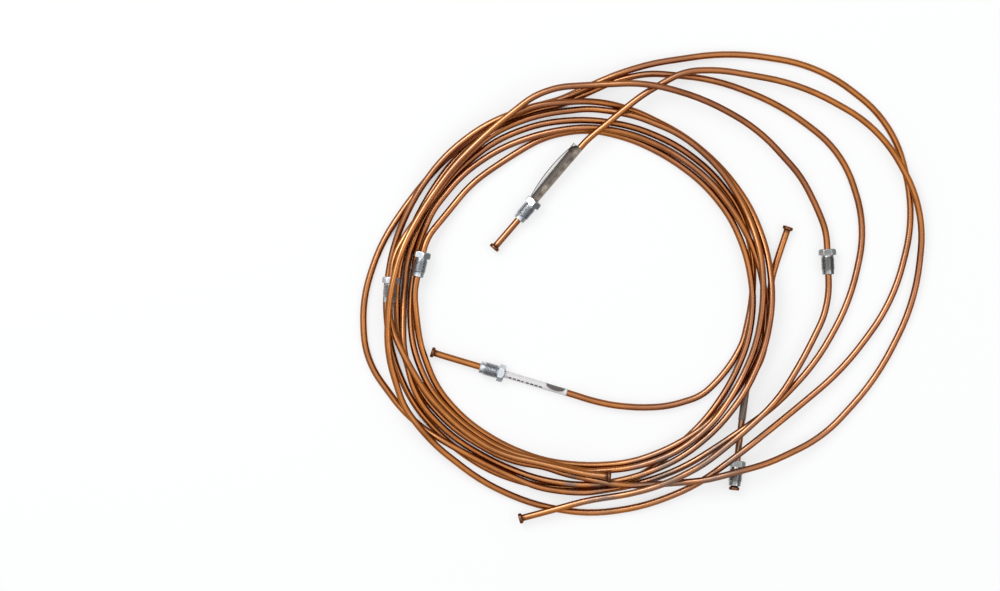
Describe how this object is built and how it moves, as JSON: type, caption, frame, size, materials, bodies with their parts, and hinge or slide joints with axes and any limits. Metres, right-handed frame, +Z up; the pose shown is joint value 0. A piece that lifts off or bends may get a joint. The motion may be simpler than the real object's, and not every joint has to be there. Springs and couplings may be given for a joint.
{
  "type": "copper tube coil",
  "caption": "Loose flat coil of thin copper brake tube in three lengths, with flared ends, loose steel tube nuts and plain wrapped labels.",
  "frame": {"origin": "middle of the coil's outline on the floor that it lies on", "axes": "+Z up out of the coil's plane, +X towards the wide loops, +Y towards the top of the picture"},
  "size_m": [0.407, 0.3404, 0.0213],
  "materials": {
    "copper": "bright copper, dulled in places",
    "zinc_steel": "bright zinc plating",
    "silver_label": "satin silver film",
    "white_label": "matt white film",
    "grey_label": "matt grey-brown film"
  },
  "bodies": {
    "root": {"long_tube": "copper", "middle_tube": "copper", "short_tube": "copper", "long_tube_arm_nut": "zinc_steel", "long_tube_loop_nut": "zinc_steel", "middle_tube_arm_nut": "zinc_steel", "middle_tube_ring_nut": "zinc_steel", "short_tube_ring_nut": "zinc_steel", "short_tube_end_nut": "zinc_steel", "silver_label": "silver_label", "white_label": "white_label", "grey_label": "grey_label"}
  },
  "joints": []
}
